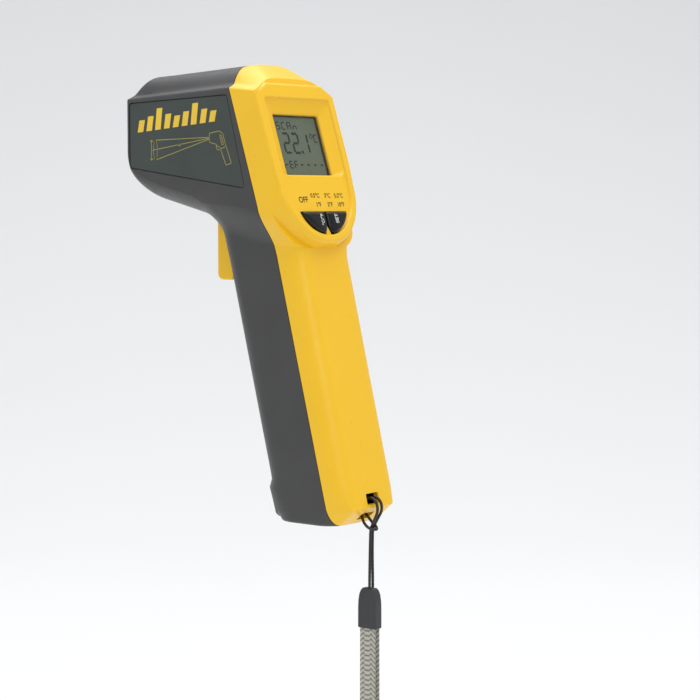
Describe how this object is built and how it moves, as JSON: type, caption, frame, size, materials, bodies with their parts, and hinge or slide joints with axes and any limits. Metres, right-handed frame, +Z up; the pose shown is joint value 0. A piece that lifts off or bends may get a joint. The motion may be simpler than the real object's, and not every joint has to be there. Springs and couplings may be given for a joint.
{
  "type": "infrared thermometer",
  "caption": "Pistol-grip infrared thermometer with a digital display, two keys, a pull trigger, a battery door and a wrist strap.",
  "frame": {"origin": "middle of the grip, on the plane of symmetry, where a hand holds it", "axes": "-X is the way the nose and the lens point, +X the display side, +Y the user's right, +Z up; y = 0 is the plane of symmetry"},
  "size_m": [0.0987, 0.0434, 0.3402],
  "materials": {
    "dark_housing_plastic": "fine satin texture",
    "yellow_plastic": "semi-gloss moulded",
    "label_film": "printed polyester film",
    "black_plastic": "gloss",
    "soft_rubber": "matte",
    "clear_window": "clear",
    "display_glass": "satin polariser",
    "pale_plastic": "matte",
    "circuit_board": "solder mask",
    "steel": "plated",
    "brass": "turned",
    "aluminium": "turned",
    "infrared_lens_glass": "polished, opaque to light",
    "battery_jacket": "printed steel jacket",
    "red_insulation": "satin",
    "woven_webbing": "woven"
  },
  "bodies": {
    "housing": {"battery": "battery_jacket", "battery_lead_black": "black_plastic", "battery_lead_red": "red_insulation", "battery_snap": "black_plastic", "board_screw_1": "steel", "board_screw_2": "steel", "buzzer": "black_plastic", "contact_strip": "soft_rubber", "door_pin": "steel", "housing_screw_1": "steel", "housing_screw_2": "steel", "housing_screw_3": "steel", "housing_screw_4": "steel", "infrared_lens": "infrared_lens_glass", "label_left": "label_film", "label_right": "label_film", "lanyard_cord": "black_plastic", "lcd_frame": "pale_plastic", "lcd_panel": "display_glass", "lcd_window": "clear_window", "left_housing": "dark_housing_plastic", "lens_barrel": "black_plastic", "lens_ring": "aluminium", "main_board": "circuit_board", "nose_cap": "dark_housing_plastic", "pointer_module": "brass", "pointer_window": "clear_window", "rear_cover": "yellow_plastic", "right_housing": "dark_housing_plastic", "sensor_board": "circuit_board", "strap_connector": "soft_rubber", "tact_switch_left": "black_plastic", "tact_switch_right": "black_plastic", "thermopile_sensor": "steel", "trigger_pin": "steel", "trigger_spring": "steel", "trigger_switch": "black_plastic", "wrist_strap": "woven_webbing"},
    "trigger": {"trigger": "yellow_plastic"},
    "switch_plunger": {"switch_plunger": "pale_plastic"},
    "button_left": {"button_left": "black_plastic"},
    "button_right": {"button_right": "black_plastic"},
    "battery_door": {"battery_door": "dark_housing_plastic"}
  },
  "joints": [
    {"name": "trigger_pull", "type": "hinge", "parent": "housing", "child": "trigger", "pos_m": [-0.031, 0, 0.0614], "axis": [0, -1, 0], "range_deg": [0, 6], "stiffness_Nm_per_rad": 0.6, "springref_deg": -8.59},
    {"name": "plunger_press", "type": "slide", "parent": "housing", "child": "switch_plunger", "axis": [1, 0, 0], "range_m": [0, 0.00142]},
    {"name": "button_left_press", "type": "slide", "parent": "housing", "child": "button_left", "axis": [-0.9524, 0, -0.3048], "range_m": [0, 0.0005], "stiffness_N_per_m": 1500, "springref_m": -0.0001},
    {"name": "button_right_press", "type": "slide", "parent": "housing", "child": "button_right", "axis": [-0.9524, 0, -0.3048], "range_m": [0, 0.0005], "stiffness_N_per_m": 1500, "springref_m": -0.0001},
    {"name": "battery_door_open", "type": "hinge", "parent": "housing", "child": "battery_door", "pos_m": [-0.007, 0, -0.0306], "axis": [0, -1, 0], "range_deg": [0, 75]}
  ],
  "couplings": [
    {"joint": "plunger_press", "follows": "trigger_pull", "m_per_rad": 0.0134}
  ]
}
